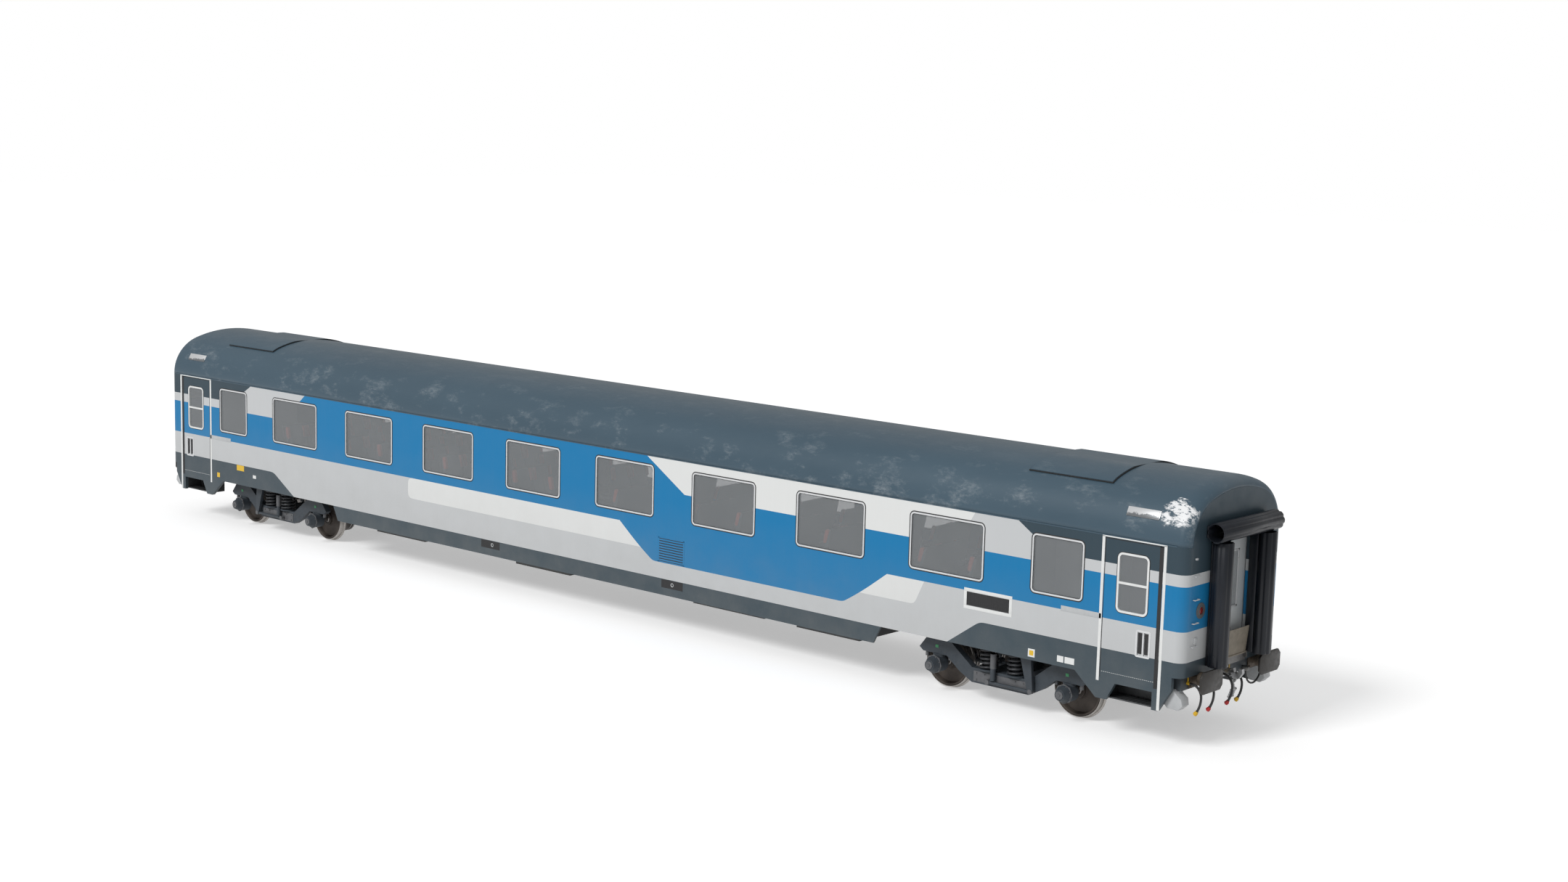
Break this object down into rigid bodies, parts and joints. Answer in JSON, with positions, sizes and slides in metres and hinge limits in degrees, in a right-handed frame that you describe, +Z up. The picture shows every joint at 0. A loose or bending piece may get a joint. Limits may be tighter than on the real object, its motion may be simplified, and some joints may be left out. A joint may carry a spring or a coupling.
{
  "type": "railway passenger coach",
  "caption": "Four-axle passenger coach with a hollow windowed body, seats, rubber-tube gangways, buffers and two swivelling bogies.",
  "frame": {"origin": "middle of the coach, on the plane that the wheel flanges stand on", "axes": "+X towards the front end, +Y to the right-hand side, +Z up"},
  "size_m": [26.5996, 2.833, 4.0797],
  "materials": {
    "body_paint": "satin coach paint in blue, light grey and slate bands",
    "roof_paint": "slate paint, weathered",
    "floor_covering": "matt floor covering",
    "frame_paint": "dark slate chassis paint, dusty",
    "equipment_paint": "dark chassis paint, dusty",
    "window_trim": "satin anodised",
    "window_glass": "tinted double glazing",
    "gangway_rubber": "ribbed black rubber, weathered",
    "fitting_steel": "worn bare steel",
    "door_paint": "light grey satin paint",
    "fallplate_steel": "brown-grey chequered steel",
    "buffer_iron": "greased dark iron",
    "lamp_plastic": "grey housing with a red lens",
    "hose_rubber": "black hose rubber",
    "cock_brass": "painted metal, yellow and red",
    "seat_fabric": "dark grey woven cloth with orange-red bolsters",
    "seat_shell": "textured plastic",
    "interior_panel": "smooth light laminate",
    "bogie_paint": "dark grey paint with road dust",
    "spring_steel": "dark painted spring steel",
    "wheel_steel": "brown-black forged steel, bright tread"
  },
  "bodies": {
    "carbody": {"side_wall_left": "body_paint", "side_wall_right": "body_paint", "roof": "roof_paint", "end_wall_front": "body_paint", "end_wall_rear": "body_paint", "floor": "floor_covering", "underframe": "frame_paint", "headstocks": "frame_paint", "pivot_pins": "fitting_steel", "skirts": "body_paint", "equipment_boxes": "equipment_paint", "air_tanks": "equipment_paint", "window_frames": "window_trim", "window_glass": "window_glass", "door_front_left": "body_paint", "door_front_right": "body_paint", "door_rear_left": "body_paint", "door_rear_right": "body_paint", "entrance_steps": "frame_paint", "gangway_front": "gangway_rubber", "gangway_rear": "gangway_rubber", "gangway_fittings": "fitting_steel", "buffers": "buffer_iron", "drawgear": "fitting_steel", "tail_lamps": "lamp_plastic", "brake_hose_front_1": "hose_rubber", "brake_hose_front_2": "hose_rubber", "brake_hose_front_3": "hose_rubber", "brake_hose_front_4": "hose_rubber", "jumper_front": "hose_rubber", "brake_hose_rear_1": "hose_rubber", "brake_hose_rear_2": "hose_rubber", "brake_hose_rear_3": "hose_rubber", "brake_hose_rear_4": "hose_rubber", "jumper_rear": "hose_rubber", "hose_heads": "cock_brass", "hose_cocks": "cock_brass", "seat_cushions": "seat_fabric", "seat_backs": "seat_fabric", "seat_stands": "seat_shell", "partitions": "interior_panel", "ceiling": "interior_panel", "luggage_racks": "window_trim"},
    "bogie_front": {"bogie_frame_front": "bogie_paint", "bogie_gear_front": "bogie_paint", "coil_springs_front": "spring_steel"},
    "bogie_rear": {"bogie_frame_rear": "bogie_paint", "bogie_gear_rear": "bogie_paint", "coil_springs_rear": "spring_steel"},
    "wheelset_1": {"wheelset_1": "wheel_steel"},
    "wheelset_2": {"wheelset_2": "wheel_steel"},
    "wheelset_3": {"wheelset_3": "wheel_steel"},
    "wheelset_4": {"wheelset_4": "wheel_steel"},
    "end_door_front": {"end_door_front": "door_paint"},
    "fallplate_front": {"fallplate_front": "fallplate_steel"},
    "end_door_rear": {"end_door_rear": "door_paint"},
    "fallplate_rear": {"fallplate_rear": "fallplate_steel"}
  },
  "joints": [
    {"name": "bogie_front_swivel", "type": "hinge", "parent": "carbody", "child": "bogie_front", "pos_m": [9.5, 0, 0.9], "axis": [0, 0, 1], "range_deg": [-4, 4]},
    {"name": "bogie_rear_swivel", "type": "hinge", "parent": "carbody", "child": "bogie_rear", "pos_m": [-9.5, 0, 0.9], "axis": [0, 0, 1], "range_deg": [-4, 4]},
    {"name": "wheelset_1_turn", "type": "hinge", "parent": "bogie_front", "child": "wheelset_1", "pos_m": [10.78, 0, 0.473], "axis": [0, 1, 0], "continuous": true},
    {"name": "wheelset_2_turn", "type": "hinge", "parent": "bogie_front", "child": "wheelset_2", "pos_m": [8.22, 0, 0.473], "axis": [0, 1, 0], "continuous": true},
    {"name": "wheelset_3_turn", "type": "hinge", "parent": "bogie_rear", "child": "wheelset_3", "pos_m": [-8.22, 0, 0.473], "axis": [0, 1, 0], "continuous": true},
    {"name": "wheelset_4_turn", "type": "hinge", "parent": "bogie_rear", "child": "wheelset_4", "pos_m": [-10.78, 0, 0.473], "axis": [0, 1, 0], "continuous": true},
    {"name": "end_door_front_slide", "type": "slide", "parent": "carbody", "child": "end_door_front", "axis": [0, 1, 0], "range_m": [0, 0.76]},
    {"name": "fallplate_front_hinge", "type": "hinge", "parent": "carbody", "child": "fallplate_front", "pos_m": [13.02, 0, 1.3], "axis": [0, 1, 0], "range_deg": [0, 84]},
    {"name": "end_door_rear_slide", "type": "slide", "parent": "carbody", "child": "end_door_rear", "axis": [0, -1, 0], "range_m": [0, 0.76]},
    {"name": "fallplate_rear_hinge", "type": "hinge", "parent": "carbody", "child": "fallplate_rear", "pos_m": [-13.02, 0, 1.3], "axis": [0, -1, 0], "range_deg": [0, 84]}
  ]
}
